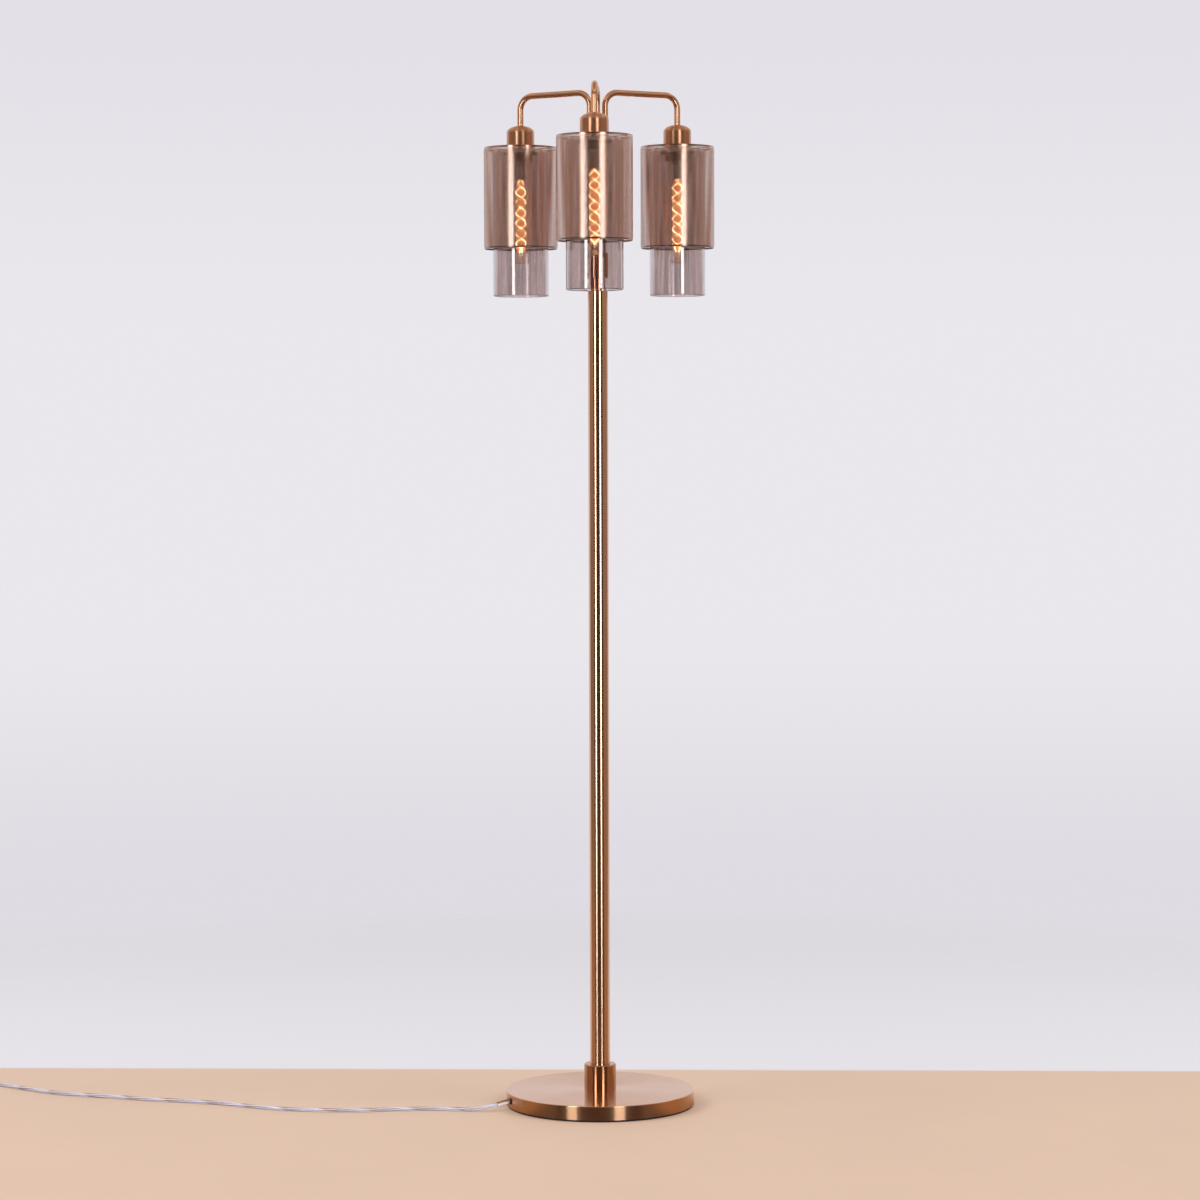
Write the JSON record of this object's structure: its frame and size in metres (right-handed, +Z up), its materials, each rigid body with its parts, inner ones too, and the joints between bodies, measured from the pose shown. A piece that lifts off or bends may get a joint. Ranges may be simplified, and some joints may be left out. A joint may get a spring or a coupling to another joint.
{
  "type": "floor lamp",
  "caption": "Floor lamp: round weighted base, straight pole, and bent tube arms that each hang a smoked glass cylinder inside a perforated metal shade with a tube bulb; cord with foot switch.",
  "frame": {"origin": "on the floor, at the pole's axis: the middle of the underside of the base pad", "axes": "+Z up along the pole; the front arm points to -Y; the cord leaves towards -X"},
  "size_m": [1.4251, 0.395, 1.616],
  "materials": {
    "rubber_black": "matte moulded rubber",
    "brass_satin": "satin brushed, pale gold",
    "iron_cast": "cast, painted dark",
    "steel_zinc": "zinc plated",
    "brass_polished": "polished, lacquered, reddish gold",
    "pvc_clear": "clear soft PVC over tinned wires",
    "plastic_black": "fine moulded texture",
    "porcelain": "glazed porcelain",
    "phenolic_black": "moulded phenolic",
    "glass_smoked": "clear smoked grey-brown",
    "mesh_brass": "perforated sheet, reddish gold",
    "glass_bulb": "thin clear glass",
    "nickel": "nickel plated",
    "filament_glow": "glowing coated strand"
  },
  "bodies": {
    "lamp": {"base_pad": "rubber_black", "base_disc": "brass_satin", "base_weight": "iron_cast", "base_screws": "steel_zinc", "base_collar": "brass_polished", "collar_screw": "steel_zinc", "cord_grommet": "rubber_black", "cord_sleeve": "pvc_clear", "cord_clamp": "plastic_black", "clamp_screws": "steel_zinc", "mains_lead": "pvc_clear", "lower_pole": "brass_polished", "pole_coupler": "steel_zinc", "upper_pole": "brass_polished", "pole_plug": "steel_zinc", "hub_nipple": "steel_zinc", "hub_body": "brass_polished", "hub_top": "brass_polished", "hub_nuts": "steel_zinc", "terminal_block": "porcelain", "arm_leads": "plastic_black", "cap_nuts": "steel_zinc", "holder_cores": "porcelain", "shade_rings": "phenolic_black", "shade_carriers": "mesh_brass", "cord": "pvc_clear", "cord_coil": "pvc_clear", "coil_tie": "plastic_black", "switch_base": "plastic_black", "switch_cover": "plastic_black", "switch_core": "porcelain", "switch_sleeves": "rubber_black", "switch_screws": "steel_zinc", "plug_body": "plastic_black", "plug_pins": "steel_zinc", "arm_front": "brass_polished", "arm_left": "brass_polished", "arm_right": "brass_polished", "cap_front": "brass_polished", "cap_left": "brass_polished", "cap_right": "brass_polished", "lampholder_front": "phenolic_black", "lampholder_left": "phenolic_black", "lampholder_right": "phenolic_black", "glass_shade_front": "glass_smoked", "glass_shade_left": "glass_smoked", "glass_shade_right": "glass_smoked", "mesh_shade_front": "mesh_brass", "mesh_shade_left": "mesh_brass", "mesh_shade_right": "mesh_brass", "bulb_glass_front": "glass_bulb", "bulb_glass_left": "glass_bulb", "bulb_glass_right": "glass_bulb", "bulb_cap_front": "nickel", "bulb_cap_left": "nickel", "bulb_cap_right": "nickel", "filament_front": "filament_glow", "filament_left": "filament_glow", "filament_right": "filament_glow"},
    "button": {"switch_button": "plastic_black"}
  },
  "joints": [
    {"name": "button_press", "type": "slide", "parent": "lamp", "child": "button", "axis": [0, 0, -1], "range_m": [0, 0.003], "stiffness_N_per_m": 400}
  ]
}
